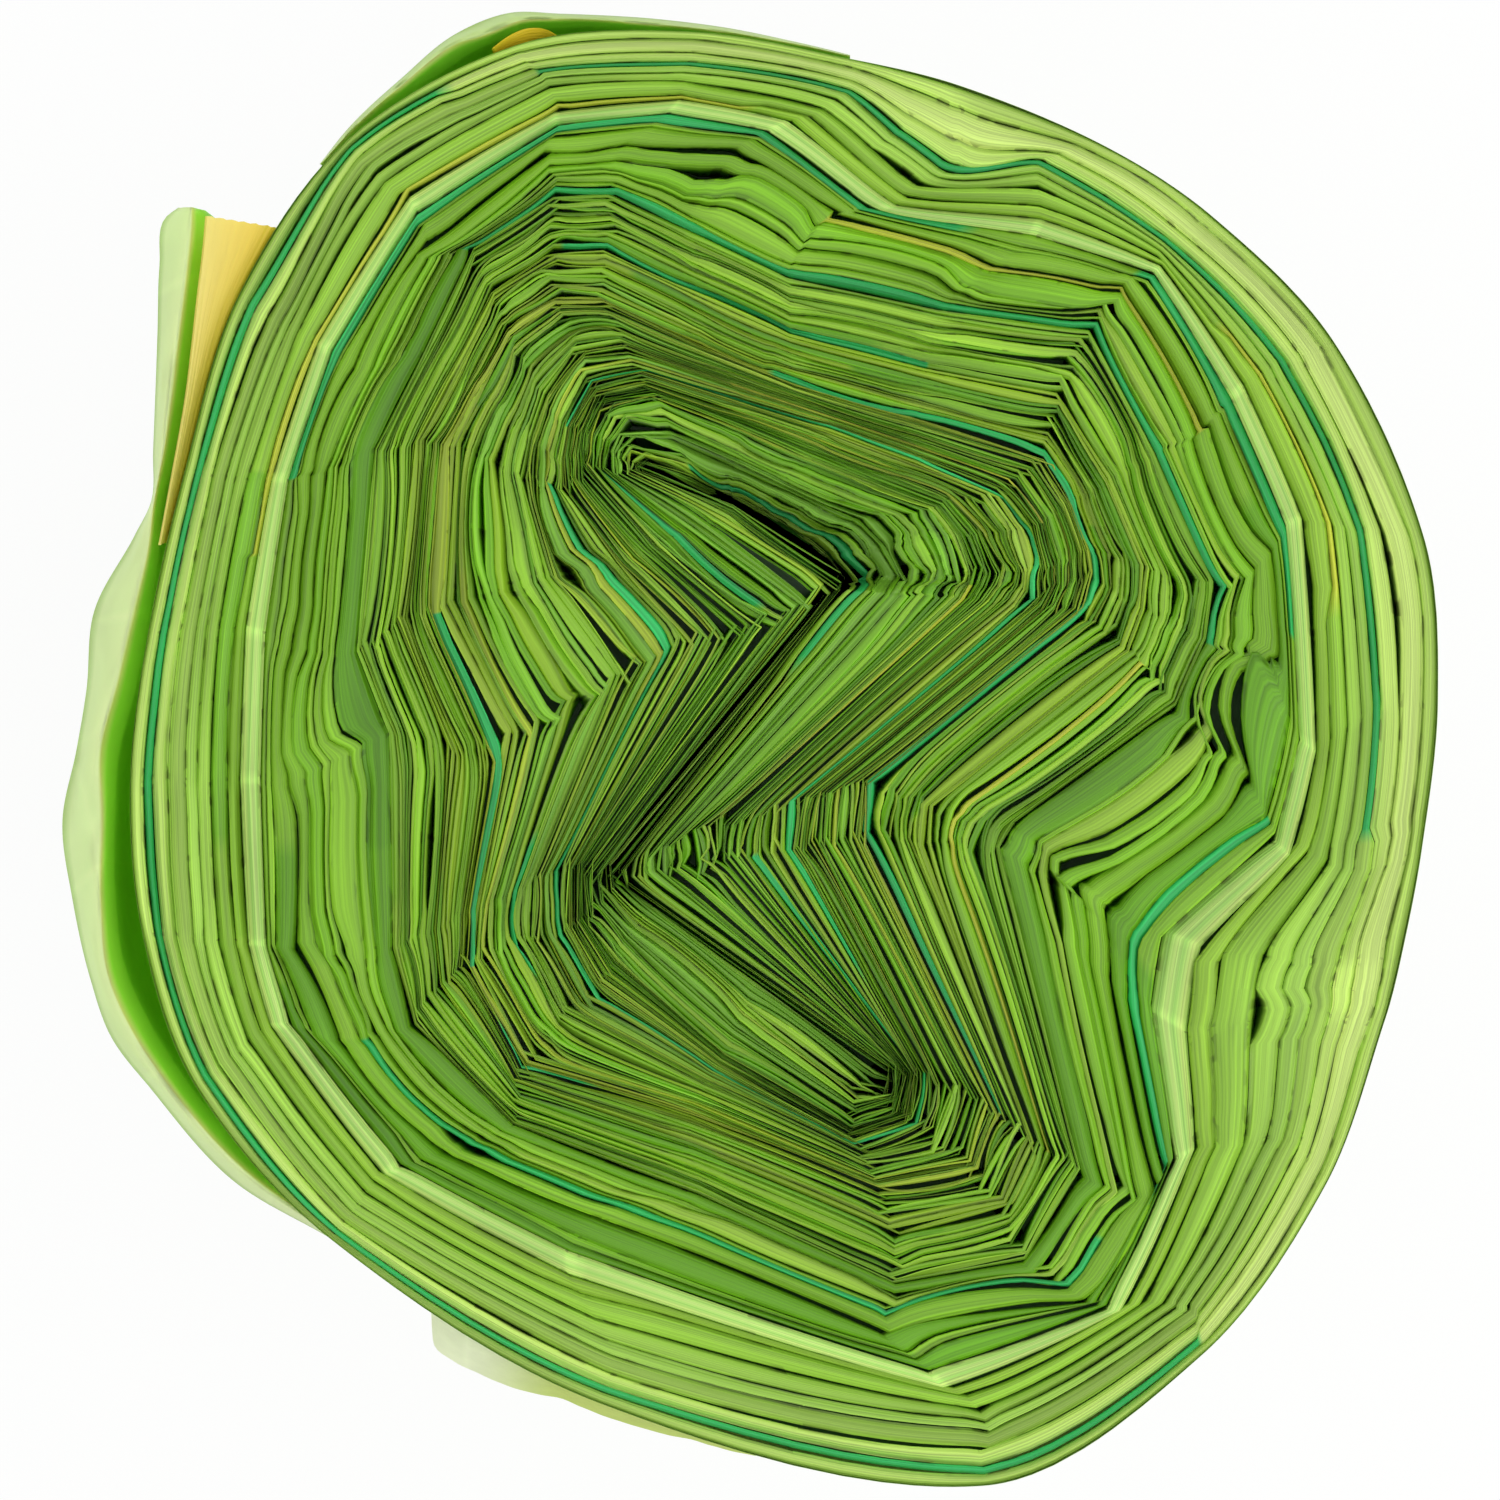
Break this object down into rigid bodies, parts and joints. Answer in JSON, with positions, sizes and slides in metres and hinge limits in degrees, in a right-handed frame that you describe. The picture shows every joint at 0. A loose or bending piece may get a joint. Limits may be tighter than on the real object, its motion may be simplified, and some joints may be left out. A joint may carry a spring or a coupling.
{
  "type": "bin bag roll",
  "caption": "Coreless roll of light green drawstring bin bags, standing on its end, with a loose outer turn, a loose end and yellow drawtape.",
  "frame": {"origin": "middle of the overall outline, on the bottom end", "axes": "+Z along the roll's axis towards the end that the picture shows; +X and +Y are the picture's right and top"},
  "size_m": [0.062, 0.0664, 0.15],
  "materials": {
    "green_film": "thin blown polyethylene film, soft sheen",
    "yellow_tape": "yellow polyethylene drawtape, soft sheen"
  },
  "bodies": {
    "root": {"wound_bags": "green_film", "outer_drawtape": "yellow_tape", "inner_drawtape": "yellow_tape"}
  },
  "joints": []
}
